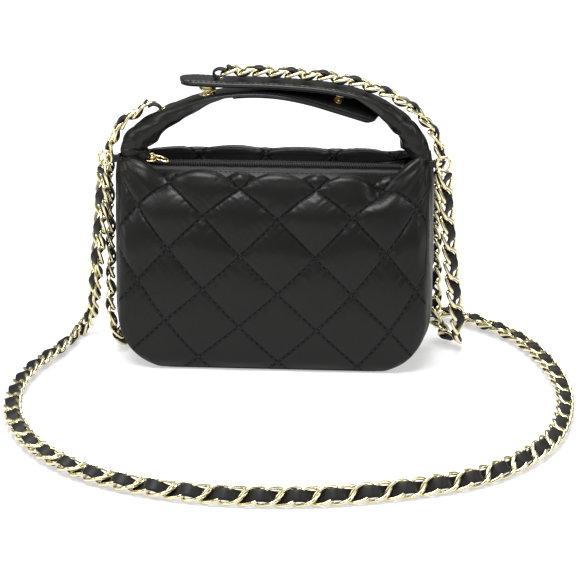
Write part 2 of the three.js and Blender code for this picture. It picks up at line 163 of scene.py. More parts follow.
def tube_faces(rings, sides):
    """Faces of a tube with a flat face at each end."""
    ends = [tuple(range(sides - 1, -1, -1)), tuple(range((rings - 1) * sides, rings * sides))]
    return grid_faces(rings, sides, closed=True) + ends


def hoop_faces(rings, sides):
    """Faces of a tube whose last ring joins the first."""
    last = (rings - 1) * sides
    seam = [(last + j, last + (j + 1) % sides, (j + 1) % sides, j) for j in range(sides)]
    return grid_faces(rings, sides, closed=True) + seam


def tube_points(middle, radius, first, second, sides):
    """Rings of points round a line, in the plane of two directions at each of its points."""
    angle = turns(sides)[None, :, None]
    return middle[:, None] + radius * (np.cos(angle) * first[:, None] + np.sin(angle) * second[:, None])


def repeated(faces, count, size):
    """The same faces for each of several runs of points of one size."""
    return [tuple(i + k * size for i in face) for k in range(count) for face in faces]


def settle(piece, body, slot, *nodes):
    """Puts a finished piece on its body, in place of some CAD nodes; the slot is not used."""
    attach(piece, body)
    if nodes:
        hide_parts(*nodes)


def sheet_object(name, outer, inner, material, flip=False):
    """A closed sheet between two grids of points of the same size."""
    rows, cols = outer.shape[:2]
    count = rows * cols
    faces = grid_faces(rows, cols)
    faces += [face[::-1] for face in grid_faces(rows, cols, start=count)]
    rim = list(range(cols))
    rim += [i * cols + cols - 1 for i in range(1, rows)]
    rim += [(rows - 1) * cols + j for j in range(cols - 2, -1, -1)]
    rim += [i * cols for i in range(rows - 2, 0, -1)]
    for a, b in zip(rim, rim[1:] + rim[:1]):
        faces.append((b, a, a + count, b + count))
    sheet = make_mesh(name, np.concatenate([outer.reshape(-1, 3), inner.reshape(-1, 3)]), faces, material)
    if flip:
        sheet.data.flip_normals()
    return sheet


def loft_object(name, rings, material):
    """A closed solid through rings of points, with a fan of faces at each end."""
    rings = np.asarray(rings)
    count, sides = rings.shape[:2]
    faces = grid_faces(count, sides, closed=True)
    ends = [rings[0].mean(0), rings[-1].mean(0)]
    first, last = count * sides, count * sides + 1
    for k in range(sides):
        n = (k + 1) % sides
        faces.append((n, k, first))
        faces.append(((count - 1) * sides + k, (count - 1) * sides + n, last))
    return make_mesh(name, np.concatenate([rings.reshape(-1, 3), ends]), faces, material)


# -------- materials
def new_material(name, **sockets):
    material = bpy.data.materials.new(name)
    material.use_nodes = True
    shader = material.node_tree.nodes["Principled BSDF"]
    for socket, value in sockets.items():
        shader.inputs[socket.replace("_", " ")].default_value = value
    return material, material.node_tree, shader


def add_node(tree, kind, **settings):
    node = tree.nodes.new(kind)
    for key, value in settings.items():
        if key in node.inputs:
            node.inputs[key].default_value = value
        else:
            setattr(node, key, value)
    return node


def ramp_between(tree, source, low, high, target):
    """Maps a 0 to 1 output onto the range low to high, and feeds it to a socket."""
    spread = tree.nodes.new("ShaderNodeMapRange")
    spread.inputs["To Min"].default_value = low
    spread.inputs["To Max"].default_value = high
    tree.links.new(source, spread.inputs["Value"])
    tree.links.new(spread.outputs["Result"], target)


def blend_colours(tree, source, first, second, target):
    """Mixes two colours by a 0 to 1 output, and feeds the mix to a socket."""
    mix = add_node(tree, "ShaderNodeMix", data_type="RGBA")
    mix.inputs[6].default_value = (*first, 1)
    mix.inputs[7].default_value = (*second, 1)
    tree.links.new(source, mix.inputs[0])
    tree.links.new(mix.outputs[2], target)


def darken_lines(tree, share, kind, value, target):
    """Gives a socket a fixed value where a share is 0, and keeps what feeds it where the share is 1."""
    low, high, result = (6, 7, 2) if kind == "RGBA" else (2, 3, 0)
    mix = add_node(tree, "ShaderNodeMix", data_type=kind)
    mix.inputs[low].default_value = value
    tree.links.new(share, mix.inputs[0])
    tree.links.new(target.links[0].from_socket, mix.inputs[high])
    tree.links.new(mix.outputs[result], target)


def object_textures(tree, *kinds):
    """Textures in the object's own coordinates, each given as its kind and its settings."""
    where = tree.nodes.new("ShaderNodeTexCoord").outputs["Object"]
    textures = [add_node(tree, f"ShaderNodeTex{kind}", **settings) for kind, settings in kinds]
    for texture in textures:
        tree.links.new(where, texture.inputs["Vector"])
    return textures


def add_bump(tree, shader, layers):
    """Stacks bump layers, each an output with a strength and a depth in metres."""
    normal = None
    for height, strength, depth in layers:
        bump = tree.nodes.new("ShaderNodeBump")
        bump.inputs["Strength"].default_value = strength
        bump.inputs["Distance"].default_value = depth
        tree.links.new(height, bump.inputs["Height"])
        if normal:
            tree.links.new(normal, bump.inputs["Normal"])
        normal = bump.outputs["Normal"]
    tree.links.new(normal, shader.inputs["Normal"])


def leather(name, dark, light, rough, grain=0.9 * MM, creases=0.35, coat=0.06):
    material, tree, shader = new_material(
        name, Specular_IOR_Level=0.19, Coat_Weight=coat, Coat_Roughness=0.25
    )
    pebbles, folds, clouds = object_textures(
        tree,
        ("Voronoi", {"feature": "SMOOTH_F1", "Scale": 1 / grain, "Smoothness": 0.6}),
        ("Noise", {"Scale": 240.0, "Detail": 6.0, "Roughness": 0.6, "Distortion": 0.8}),
        ("Noise", {"Scale": 28.0, "Detail": 3.0}),
    )
    blend_colours(tree, clouds.outputs["Fac"], dark, light, shader.inputs["Base Color"])
    ramp_between(tree, folds.outputs["Fac"], rough - 0.07, rough + 0.07, shader.inputs["Roughness"])
    add_bump(tree, shader, [
        (clouds.outputs["Fac"], 0.2, 1.0 * MM),
        (folds.outputs["Fac"], creases, 0.25 * MM),
        (pebbles.outputs["Distance"], 0.3, 0.12 * MM),
    ])
    return material


def quilted_leather(name, dark, light, rough):
    """Leather with a thin sunk line wherever a coordinate of its UV map is a whole number, its colour
    darkened along the line as painted shade.
    """
    material = leather(name, dark, light, rough)
    tree = material.node_tree
    shader = tree.nodes["Principled BSDF"]
    place = tree.nodes.new("ShaderNodeSeparateXYZ")
    tree.links.new(add_node(tree, "ShaderNodeUVMap", uv_map="quilting").outputs["UV"], place.inputs[0])
    nearest = add_node(tree, "ShaderNodeMath", operation="MINIMUM")
    for axis in (0, 1):
        line = add_node(tree, "ShaderNodeMath", operation="PINGPONG")
        line.inputs[1].default_value = 0.5
        tree.links.new(place.outputs[axis], line.inputs[0])
        tree.links.new(line.outputs[0], nearest.inputs[axis])
    rise = add_node(tree, "ShaderNodeMapRange", interpolation_type="SMOOTHSTEP")
    rise.inputs["From Max"].default_value = LINE_HALF_WIDTH
    tree.links.new(nearest.outputs[0], rise.inputs["Value"])
    raised = rise.outputs["Result"]
    # Painted shade: the base colour goes nearly black along the sunk quilting lines, where shade falls in the
    # groove.
    darken_lines(tree, raised, "RGBA", (0.0008, 0.0008, 0.0008, 1), shader.inputs["Base Color"])
    darken_lines(tree, raised, "FLOAT", 0.95, shader.inputs["Roughness"])
    groove = add_node(tree, "ShaderNodeBump", Strength=1.0, Distance=0.9 * MM)
    tree.links.new(raised, groove.inputs["Height"])
    tree.links.new(shader.inputs["Normal"].links[0].from_socket, groove.inputs["Normal"])
    tree.links.new(groove.outputs["Normal"], shader.inputs["Normal"])
    return material


def metal(name, colour, shade, rough):
    material, tree, shader = new_material(name, Metallic=1.0)
    smears, scratches = object_textures(
        tree,
        ("Noise", {"Scale": 420.0, "Detail": 4.0}),
        ("Noise", {"Scale": 1900.0, "Detail": 2.0, "Distortion": 1.5}),
    )
    blend_colours(tree, smears.outputs["Fac"], colour, shade, shader.inputs["Base Color"])
    ramp_between(tree, smears.outputs["Fac"], rough - 0.05, rough + 0.09, shader.inputs["Roughness"])
    add_bump(tree, shader, [(scratches.outputs["Fac"], 0.08, 0.05 * MM)])
    return material


def woven(name, dark, light, pitch, rough=0.85):
    """A plain weave of crossed thread waves."""
    material, tree, shader = new_material(name, Specular_IOR_Level=0.25, Sheen_Weight=0.15)
    wave = {"Scale": 0.31 / pitch, "Distortion": 0.4}
    waves = object_textures(tree, *(("Wave", {**wave, "bands_direction": way}) for way in "XYZ"))
    total = add_node(tree, "ShaderNodeMath", operation="MULTIPLY_ADD")
    for source, socket in zip(waves, total.inputs):
        tree.links.new(source.outputs["Fac"], socket)
    blend_colours(tree, total.outputs[0], dark, light, shader.inputs["Base Color"])
    ramp_between(tree, total.outputs[0], rough, rough + 0.1, shader.inputs["Roughness"])
    add_bump(tree, shader, [(total.outputs[0], 0.5, 0.12 * MM)])
    return material


LINE_HALF_WIDTH = 0.030  # of the distance between two lines of the quilting
QUILTED_LEATHER = quilted_leather("quilted_leather", (0.0038, 0.0038, 0.0036), (0.0064, 0.0062, 0.0058), 0.37)
BLACK_LEATHER = leather("black_leather", (0.0040, 0.0040, 0.0038), (0.0070, 0.0068, 0.0064), 0.42, coat=0.02)
STRAP_LEATHER = leather("strap_leather", (0.0060, 0.0059, 0.0056), (0.0095, 0.0092, 0.0087), 0.34)
LACE_LEATHER = leather(
    "lace_leather", (0.0070, 0.0066, 0.0066), (0.012, 0.0115, 0.011), 0.5, creases=0.5, coat=0.0
)
EDGE_PAINT = leather("edge_paint", (0.008, 0.008, 0.008), (0.013, 0.013, 0.013), 0.3, creases=0.2, coat=0.3)
THREAD = woven("black_thread", (0.004, 0.004, 0.004), (0.012, 0.012, 0.012), 0.3 * MM, 0.6)
LINING_CLOTH = woven("lining_cloth", (0.008, 0.008, 0.009), (0.02, 0.02, 0.022), 0.5 * MM)
# The zip tape is black cloth, woven darker than the leather as painted shade for the mouth it sits in.
TAPE_CLOTH = woven("tape_cloth", (0.002, 0.002, 0.002), (0.006, 0.006, 0.006), 0.45 * MM)
WADDING = woven("wadding", (0.55, 0.53, 0.49), (0.8, 0.78, 0.74), 1.5 * MM)
BOARD = leather("board", (0.20, 0.14, 0.085), (0.30, 0.22, 0.14), 0.8, creases=0.3, coat=0.0)
# The zip teeth are black nylon, made darker than the leather as painted shade for the mouth they sit in.
NYLON = leather("black_nylon", (0.003, 0.003, 0.003), (0.005, 0.005, 0.005), 0.5, creases=0.1, coat=0.0)
PALE_GOLD = metal("pale_gold", (0.84, 0.73, 0.44), (0.72, 0.60, 0.34), 0.18)
CHAIN_GOLD = metal("chain_gold", (0.84, 0.77, 0.50), (0.72, 0.64, 0.38), 0.19)

# -------- camera, light and floor
CAMERA_AZIMUTH = math.radians(3.5)
CAMERA_ELEVATION = math.radians(20)
CAMERA_DISTANCE = 1.65
CAMERA_TARGET = Vector((0.0086, 0, 0.046))
camera_data = bpy.data.cameras.new("camera")
camera_data.sensor_width = 36
camera_data.lens = 160.875
camera = bpy.data.objects.new("camera", camera_data)
bpy.context.scene.collection.objects.link(camera)
direction = Vector((
    math.sin(CAMERA_AZIMUTH) * math.cos(CAMERA_ELEVATION),
    -math.cos(CAMERA_AZIMUTH) * math.cos(CAMERA_ELEVATION),
    math.sin(CAMERA_ELEVATION),
))
camera.location = CAMERA_TARGET + direction * CAMERA_DISTANCE
camera.rotation_euler = (-direction).to_track_quat("-Z", "Y").to_euler()
bpy.context.scene.camera = camera


def soft_light(name, place, target, size, power):
    data = bpy.data.lights.new(name, "AREA")
    data.shape = "SQUARE"
    data.size = size
    data.energy = power
    light = bpy.data.objects.new(name, data)
    bpy.context.scene.collection.objects.link(light)
    light.location = place
    light.rotation_euler = (Vector(target) - Vector(place)).to_track_quat("-Z", "Y").to_euler()


MIDDLE = (0, 0, 0.07)
soft_light("front_light", (-0.2, -0.6, 1.35), MIDDLE, 0.8, 30)
soft_light("back_light", (0.1, 0.5, 1.3), MIDDLE, 0.7, 15)
soft_light("left_light", (-1.2, -0.5, 0.8), MIDDLE, 0.5, 5)
soft_light("right_light", (1.2, -0.4, 0.8), MIDDLE, 0.5, 5)

# The room looks white, but the things in it are lit less by it than by the lamps.
world = bpy.data.worlds.new("white_room")
world.use_nodes = True
bpy.context.scene.world = world
room = world.node_tree
background = room.nodes["Background"]
background.inputs["Color"].default_value = (1, 1, 1, 1)
seen = add_node(room, "ShaderNodeLightPath")
ramp_between(room, seen.outputs["Is Camera Ray"], 0.32, 1.0, background.inputs["Strength"])
bpy.context.scene.view_settings.view_transform = "Standard"


def make_floor():
    material, tree, shader = new_material(
        "floor_white", Roughness=0.9, Specular_IOR_Level=0.1,
        Emission_Color=(1, 1, 1, 1), Emission_Strength=0.5,
    )
    grain = add_node(tree, "ShaderNodeTexNoise", Scale=300.0, Detail=2.0)
    blend_colours(tree, grain.outputs["Fac"], (0.42,) * 3, (0.44,) * 3, shader.inputs["Base Color"])
    side = 6.0
    corners = [(-side, -side, 0), (side, -side, 0), (side, side, 0), (-side, side, 0)]
    floor = make_mesh("floor", corners, [(0, 1, 2, 3)], material, smooth=False)
    floor.location.z = -0.0004


make_floor()


# -------- routes
class Route:
    """A smooth centripetal Catmull-Rom line through points, measured along its length."""

    def __init__(self, points, step=0.5 * MM):
        p = np.array(points, float)
        p = np.vstack([2 * p[0] - p[1], p, 2 * p[-1] - p[-2]])
        knots = np.concatenate([[0], np.cumsum(np.sqrt(np.linalg.norm(np.diff(p, axis=0), axis=1)))])
        line = []
        for i in range(1, len(p) - 2):
            t = np.linspace(knots[i], knots[i + 1], 60, endpoint=False)[:, None]
            line.append(self.piece(p[i - 1:i + 3], knots[i - 1:i + 3], t))
        line = np.vstack(line + [p[-2:-1]])
        far = distances_along(line)
        self.length = far[-1]
        self.s = np.linspace(0, self.length, max(8, int(self.length / step)))
        self.points = between_points(self.s, far, line)
        self.tangents = unit(np.gradient(self.points, axis=0))

    @staticmethod
    def piece(p, k, t):
        def between(a, b, ka, kb):
            return ((kb - t) * a + (t - ka) * b) / (kb - ka)

        a = [between(p[i], p[i + 1], k[i], k[i + 1]) for i in range(3)]
        b = [between(a[i], a[i + 1], k[i], k[i + 2]) for i in range(2)]
        return between(b[0], b[1], k[1], k[2])

    def at(self, s):
        return between_points(s, self.s, self.points)

    def tangent(self, s):
        return unit(between_points(s, self.s, self.tangents))


class Facing:
    """Which way the chain's broad face looks, given at some places along the route (0 to 1)."""

    def __init__(self, route, marks):
        self.route = route
        self.places = [place for place, _ in marks]
        self.looks = unit(np.array([look for _, look in marks], float))

    def at(self, s, tangent):
        look = between_points(np.asarray(s) / self.route.length, self.places, self.looks)
        return unit(look - tangent * np.sum(look * tangent, -1, keepdims=True))


# -------- chains
def link_shape(around=28, sides=8):
    """One link as points (around, sides, 3): along, across and out of the chain."""
    turn = turns(around)
    across = LINK_HALF_WIDTH * soft(np.sin(turn), 0.75)
    length = LINK_HALF_LENGTH * soft(np.cos(turn), 0.8)
    middle = xyz(length + LINK_SKEW * across, across, -LINK_TWIST * np.sin(2 * turn))
    along = unit(np.roll(middle, -1, axis=0) - np.roll(middle, 1, axis=0))
    outward = (middle - LINK_SKEW * middle[:, 1:2] * vec(1, 0, 0)) * vec(1, 1, 0)
    outward = unit(outward - along * np.sum(outward * along, -1, keepdims=True))
    return tube_points(middle, LINK_WIRE, outward, np.cross(along, outward), sides)


def links_along(route, facing, count):
    """Points and faces of a run of links, each spanning one pitch of the route."""
    shape = link_shape()
    around, sides = shape.shape[:2]
    pitch = route.length / count
    verts = []
    for k in range(count):
        start, end = route.at(k * pitch), route.at((k + 1) * pitch)
        along = unit(end - start)
        out = facing.at((k + 0.5) * pitch, along)
        axes = np.stack([along, np.cross(out, along), out])
        verts.append((start + end) / 2 + shape.reshape(-1, 3) @ axes)
    return np.vstack(verts), repeated(hoop_faces(around, sides), count, around * sides)


def lace_along(route, facing, count, sides=12):
    """Points and faces of the lace: over one crossing of the links and under the next."""
    steps = count * 10
    s = np.linspace(0, route.length, steps)
    along = route.tangent(s)
    out = facing.at(s, along)
    across = np.cross(out, along)
    weave = LACE_WEAVE * soft(np.cos(math.pi * s * count / route.length), 0.7)
    middle = route.at(s) + out * weave[:, None]
    direction = unit(np.gradient(middle, axis=0))
    up = unit(np.cross(direction, across))
    corner = turns(sides) + math.pi / sides
    wide = LACE_HALF_WIDTH * soft(np.cos(corner), 0.45)
    thick = LACE_HALF_THICKNESS * soft(np.sin(corner), 0.6)
    rings = middle[:, None] + across[:, None] * wide[None, :, None] + up[:, None] * thick[None, :, None]
    for end in (0, -1):
        rings[end] = rings[end].mean(0) + (rings[end] - rings[end].mean(0)) * 0.6
    return rings.reshape(-1, 3), tube_faces(steps, sides)


def make_chain(name, points, looks, nodes):
    """A chain with its lace along a route, in place of some CAD nodes."""
    route = Route(points)
    facing = Facing(route, looks)
    count = round(route.length / LINK_PITCH)
    link_verts, link_faces = links_along(route, facing, count)
    lace_verts, lace_faces = lace_along(route, facing, count)
    faces = link_faces + [tuple(i + len(link_verts) for i in face) for face in lace_faces]
    chain = make_mesh(name, np.vstack([link_verts, lace_verts]), faces, CHAIN_GOLD)
    chain.data.materials.append(LACE_LEATHER)
    chain.data.polygons.foreach_set("material_index", [0] * len(link_faces) + [1] * len(lace_faces))
    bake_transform(chain)
    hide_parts(*nodes)


def millimetres(points):
    return [tuple(value * MM for value in point) for point in points]


# Heights of a chain that lies on the floor, and of one that stands half on its edge there.
LYING = 5.0
LEANING = 5.9
LONG_ROUTE = millimetres([
    (-107, -6, 127), (-109, -5, 107), (-111, -4, 86), (-113.5, -2.5, 65), (-116.5, 5, 45),
    (-119.5, 18, 26), (-124, 28, 12), (-128, 31, 5.5), (-131, 20, LYING), (-139, -9, LYING),
    (-150.5, -41, LYING), (-155.5, -80, LYING), (-150, -125, LYING), (-128, -172, LEANING),
    (-93, -206, LEANING), (-38, -228, LEANING), (24, -232, LEANING), (83, -219, LEANING),
    (135, -194, LEANING), (170, -148, LEANING), (183, -90, LYING), (180, -38, LYING),
    (160, 22, LYING), (134, 54, LYING), (107, 72, LYING), (78, 74, LYING), (45, 62, LYING),
    (5, 54, LYING), (-35, 52, LYING), (-68, 50, LYING), (-85, 44, LYING), (-94, 32, LYING),
    (-97.5, 17, 5.5), (-99.5, 5, 9), (-104.8, -1, 20), (-106, 2, 40), (-105.8, 6.5, 60),
    (-105.6, 6, 80), (-105.6, 5.5, 100), (-105.4, 5, 117), (-104.8, 4, 130), (-103.2, 3, 140.5),
    (-98.6, 2, 150.4), (-89.2, 2, 159.5), (-78.5, 2, 166.2),
])
LONG_LOOKS = [
    (0.00, (-0.75, -0.66, 0)), (0.06, (-0.8, -0.6, 0)), (0.10, (-0.95, -0.3, 0.1)), (0.13, (-0.5, -0.2, 0.9)),
    (0.22, (-0.3, 0, 1)), (0.30, (0, -0.5, 0.8)), (0.36, (0, -0.8, 0.6)), (0.50, (0, -0.8, 0.6)),
    (0.57, (0.2, -0.5, 0.85)), (0.64, (0, 0, 1)), (0.84, (0, 0, 1)), (0.88, (-0.9, -0.2, 0.3)),
    (0.95, (-0.99, -0.1, 0)), (0.975, (-0.9, -0.2, 0.3)), (1.00, (-0.55, 0, 0.8)),
]
make_chain(
    "chain_long", LONG_ROUTE, LONG_LOOKS,
    ("chain_left_drop", "chain_floor_loop", "chain_left_rise", "chain_under_strap"),
)

RIGHT_ROUTE = millimetres([
    (107.5, -5.2, 127), (108.5, -4, 107), (110.5, -2, 85), (113, 1, 60), (115.5, 5, 38),
    (118, 10, 18), (117, 18, 8), (112.5, 26, 5.6), (107.5, 33, 7), (103.8, 36, 13),
    (102.8, 34, 26), (102.6, 30, 46), (102.6, 27, 68), (102.6, 23, 90), (102.9, 15, 110),
    (103.6, 8, 122), (103.9, 5, 131),
])
RIGHT_LOOKS = [
    (0.00, (0.78, -0.62, 0)), (0.40, (0.78, -0.62, 0.1)), (0.50, (0.5, -0.2, 0.8)),
    (0.62, (0.8, 0.5, 0.3)), (1.00, (0.9, -0.4, 0)),
]
make_chain(
    "chain_right", RIGHT_ROUTE, RIGHT_LOOKS,
    ("chain_right_loop",),
)

TOP_ROUTE = millimetres([
    (103.9, 5, 132), (103.6, 3, 142), (98.6, 2, 152.8), (88, 2, 165.2), (66.2, 2, 177.6),
    (40.8, 2, 184.8), (5, 2, 188.0), (-20, 2, 188.8), (-30, 1.5, 188.9),
])
TOP_LOOKS = [
    (0.0, (0.9, -0.4, 0)), (0.12, (1, 0, 0.2)), (0.3, (0.75, 0, 0.7)), (0.5, (0.2, 0, 1)), (1.0, (0, 0, 1)),
]
make_chain(
    "chain_top", TOP_ROUTE, TOP_LOOKS,
    ("chain_over_strap",),
)

# -------- the bag's form
def share_out(x):
    """0 at the bag's middle and 1 at its sides."""
    return np.abs(x / HALF_WIDTH)


def top_height(x):
    horn = HORN_HEIGHT - RIDGE_HEIGHT - LEFT_HORN_DROP * (x < 0)
    return RIDGE_HEIGHT + horn * share_out(x) ** 5


def half_width(z):
    below = np.clip(CORNER_RADIUS - z, 0, CORNER_RADIUS)
    return HALF_WIDTH - CORNER_RADIUS + np.sqrt(CORNER_RADIUS ** 2 - below ** 2)


def seam_half_depth(z):
    fold_start = 35 * MM
    rise = clamp01((z - fold_start) / (HORN_HEIGHT - fold_start))
    return BASE_HALF_DEPTH - (BASE_HALF_DEPTH - HORN_HALF_DEPTH) * rise ** 1.8


def half_depth(x, z):
    belly = 32 * MM
    rise = np.clip(z, 0, RIDGE_HEIGHT) / RIDGE_HEIGHT
    middle = BASE_HALF_DEPTH + belly * rise - (BASE_HALF_DEPTH + belly - MOUTH_HALF_DEPTH) * rise ** 2
    seam = seam_half_depth(z)
    return seam + (middle - seam) * (1 - share_out(x) ** 4)


def roll_radius(x):
    return (1.2 + 2.1 * (1 - share_out(x) ** 5)) * MM


def roll_start(x):
    """Height where the wall begins to roll over, and the lean of the wall there."""
    radius = roll_radius(x)
    z = top_height(x) - radius
    slope = (half_depth(x, z - MM) - half_depth(x, z + MM)) / (2 * MM)
    lean = np.arctan(slope)
    return top_height(x) - radius * (1 - np.sin(lean)), lean


def inner_side(x, s):
    """From 0 on the ridge's crest and outside it to 1 inside it, where the wall lies flatter."""
    return smooth01((s - roll_start(x)[0] - math.pi / 2 * roll_radius(x)) / (3 * MM))


def wall_base(side, x, s):
    """A point of the wall's middle surface, at x and at a distance s up the wall and over its ridge."""
    start, lean = roll_start(x)
    radius = roll_radius(x)
    z = np.minimum(s, start)
    y = half_depth(x, z)
    turned = np.clip((s - start) / radius, 0, math.pi - lean)
    angle = lean + turned
    after = np.maximum(0, s - start - radius * (math.pi - lean))
    y = y - radius * (np.cos(lean) - np.cos(angle)) - 0.25 * after
    z = z + radius * (np.sin(angle) - np.sin(lean)) - after
    return xyz(x, side * y, z)


def lattice(side, x, s):
    """Coordinates of the quilting, whose two families of lines lie where they are whole numbers."""
    across, up = FRONT_CROSSING if side < 0 else BACK_CROSSING
    width = DIAMOND_WIDTH * (1 if side < 0 else BACK_NARROWING) * (1 + 0.09 * clamp01(1 - s / (54 * MM)))
    u = (x + SIDE_TIGHTENING * np.sign(x) * share_out(x) ** 4 - across) / width
    rise = SIDE_RISE * (x / (90 * MM)) ** 2 * clamp01(s / (80 * MM))
    rise = rise + ROW_SLANT * side * x * clamp01(1 - s / (110 * MM))
    v = (s - rise - up) / ROW_HEIGHT
    return u + v / 2, u - v / 2


def wall_puff(side, x, s):
    """How far the quilted leather stands out from the wall's middle surface."""
    p, q = lattice(side, x, s)
    pillow = (np.abs(np.sin(math.pi * p)) * np.abs(np.sin(math.pi * q))) ** 0.5
    height = (1.5 + 1.9 * smooth01((s - 40 * MM) / (90 * MM))) * MM
    over = smooth01((s - roll_start(x)[0] + 6 * MM) / (9 * MM))
    height = height * (1 - (0.1 if side < 0 else 0.65) * over) * (1 - 0.75 * inner_side(x, s))
    uneven = 1 + 0.18 * np.sin(2.1 * np.floor(p) + 3.7 * np.floor(q))
    puff = height * uneven * pillow
    for line, other, seed in ((p, q, 3.0), (q, p, 8.0)):
        far = np.abs(line - np.round(line)) * LINE_SPACING
        spots = xyz(other * 11, np.round(line) * 5.3, np.zeros_like(other))
        gather = wobble(spots, 1.0, seed) + 0.5 * wobble(spots * 2.3, 1.0, seed + 20)
        near = np.exp(-far / (4.5 * MM)) * (1 - np.exp(-far / (0.7 * MM)))
        puff = puff + 0.6 * MM * gather * near * smooth01((s - 20 * MM) / (90 * MM) + 0.35)
    side_edge = np.maximum(half_width(s) - np.abs(x), 0)
    bottom_edge = np.maximum(s - PANEL_BOTTOM, 0)
    edge = np.minimum(side_edge, bottom_edge)
    return puff * smooth01(edge / (7 * MM)) - 1.3 * MM * np.exp(-edge / (1.1 * MM))


def wall_folds(side, x, s):
    """Slack folds of the whole wall: gathers under the horns and soft waves below the ridge."""
    start, _ = roll_start(x)
    down = start - s
    points = xyz(x, np.full_like(x, 0.02 * side), s)
    slack = 1.0 * MM * wobble(points * vec(1, 1, 1.6), 30 * MM, 5.0) * smooth01((s - 30 * MM) / (60 * MM))
    corner = np.hypot((HALF_WIDTH - np.abs(x)) / (26 * MM), np.maximum(down, 0) / (34 * MM))
    angle = np.arctan2(np.maximum(down, 0) + 4 * MM, HALF_WIDTH - np.abs(x) + 4 * MM)
    fans = 0.4 * MM * np.sin(angle * 11 + 2 * np.sign(x) + side)
    return slack + fans * np.exp(-corner ** 2) * smooth01(corner * 2.5)


PINCH_X = 70 * MM  # where the ends of the mouth pull the front ridge in
BACK_PINCH = 0.15  # of the front's
FRONT_SAG = 4.2 * MM
BACK_RISE = 1.4 * MM
RIGHT_SAG = 5.5 * MM
RIGHT_SAG_X = 66 * MM


def ridge_sag(side, x):
    """How far the slack ridge of a wall hangs below its full height."""
    slack = 1 - share_out(x) ** 4
    if side > 0:
        return -BACK_RISE * slack
    return FRONT_SAG * slack + RIGHT_SAG * bell(x - RIGHT_SAG_X, 17 * MM)


def wall_normal(side, x, s):
    step = 0.4 * MM
    along = wall_base(side, x, s + step) - wall_base(side, x, s - step)
    across = wall_base(side, x + step, s) - wall_base(side, x - step, s)
    return unit(np.cross(across, along)) * (1 if side < 0 else -1)


def wall_surface(side, x, s, lift=0.0):
    """The quilted wall with its puffs, folds and the pinches at the ends of the mouth."""
    x, s = np.broadcast_arrays(np.asarray(x, float), np.asarray(s, float))
    out = wall_puff(side, x, s) + wall_folds(side, x, s) + lift
    point = wall_base(side, x, s) + wall_normal(side, x, s) * out[..., None]
    start, _ = roll_start(x)
    pinch = bell(np.abs(x) - PINCH_X, 8 * MM) * bell(s - start - 3 * MM, 13 * MM)
    pinch = pinch * (1 if side < 0 else BACK_PINCH)
    inner = inner_side(x, s)
    thinned = 2.6 * MM * inner * smooth01((np.abs(x) - 50 * MM) / (22 * MM)) * (side < 0)
    inward = 3.2 * MM * pinch * (1 - 0.7 * inner) - thinned
    p, q = lattice(side, x, s)
    far = np.minimum(np.abs(p - np.round(p)), np.abs(q - np.round(q))) * LINE_SPACING
    pull = (2.6 if side < 0 else 0.15) * MM * np.exp(-(far / (4.5 * MM)) ** 1.4)
    crest = smooth01((s - start + 16 * MM) / (16 * MM)) * (1 - share_out(x) ** 6)
    sunk = ridge_sag(side, x) * smooth01((s - start + 30 * MM) / (30 * MM))
    gathered = -4 * MM * pinch * (x > 0)
    return point + xyz(gathered, -side * inward, -2.6 * MM * pinch - pull * crest - sunk)


ROLL_TAIL = 5.5 * MM
STITCH_FILL = 0.8  # of the pitch is thread, and the rest is the gap between two stitches


def wall_grid(columns, rows, roll_rows):
    a = np.sin(np.linspace(-1, 1, columns) * math.pi / 2 * 0.86) / math.sin(math.pi / 2 * 0.86)
    b = np.linspace(0, 1, rows) ** 1.25
    level = PANEL_BOTTOM + (RIDGE_HEIGHT - PANEL_BOTTOM) * b[:, None]
    x = a[None, :] * half_width(level)
    start, lean = roll_start(x)
    s = PANEL_BOTTOM + (start - PANEL_BOTTOM) * b[:, None]
    over = np.linspace(0, 1, roll_rows + 1)[1:, None]
    top = np.repeat(a[None, :] * HALF_WIDTH, roll_rows, axis=0)
    start, lean = roll_start(top)
    whole = roll_radius(top) * (math.pi - lean) + ROLL_TAIL * (1 - (top / HALF_WIDTH) ** 2)
    return np.vstack([x, top]), np.vstack([s, start + whole * over])


def make_stitches(name, body, lines, pitch, radius=0.3 * MM, sink=0.25 * MM):
    """Thread along each line of (points, normals): one small arched capsule for each stitch."""
    verts = []
    rings, sides = 6, 6
    t = np.linspace(0, 1, rings)
    arch = np.sin(t * math.pi)
    wide = (radius * np.sqrt(np.clip(1.02 - (2 * t - 1) ** 2, 0.02, 1)))[:, None, None]
    for points, normals in lines:
        far = distances_along(points)
        count = int(far[-1] / pitch)
        for k in range(count):
            s = (k + 0.5 + (t - 0.5) * STITCH_FILL) * far[-1] / count
            up = unit(between_points(s, far, normals))
            at = between_points(s, far, points) + up * (radius * 0.8 * arch - sink * (1 - arch))[:, None]
            third = np.cross(unit(np.gradient(at, axis=0)), up)
            verts.append(tube_points(at, wide, up, third, sides).reshape(-1, 3))
    faces = repeated(tube_faces(rings, sides), len(verts), rings * sides)
    settle(make_mesh(name, np.vstack(verts), faces, THREAD), body, "black_leather")


def quilt_lines(side):
    """The quilting's lines over the wall, as points and outward normals."""
    s = np.linspace(PANEL_BOTTOM + 1.5 * MM, RIDGE_HEIGHT + 16 * MM, 260)
    lines = []
    for family in (0, 1):
        for number in range(-6, 7):
            low, high = np.full_like(s, -HALF_WIDTH), np.full_like(s, HALF_WIDTH)
            for _ in range(34):
                middle = (low + high) / 2
                over = lattice(side, middle, s)[family] > number
                high, low = np.where(over, middle, high), np.where(over, low, middle)
            x = (low + high) / 2
            start, lean = roll_start(x)
            end = start + roll_radius(x) * (math.pi - lean) + ROLL_TAIL * 0.3
            inside = (np.abs(x) < half_width(s) - 2.5 * MM) & (s < end)
            edges = np.flatnonzero(np.diff(np.concatenate([[0], inside.astype(int), [0]])))
            for first, last in zip(edges[::2], edges[1::2]):
                if last - first < 8:
                    continue
                xs, ss = x[first:last], s[first:last]
                lines.append((wall_surface(side, xs, ss), wall_normal(side, xs, ss)))
    return lines


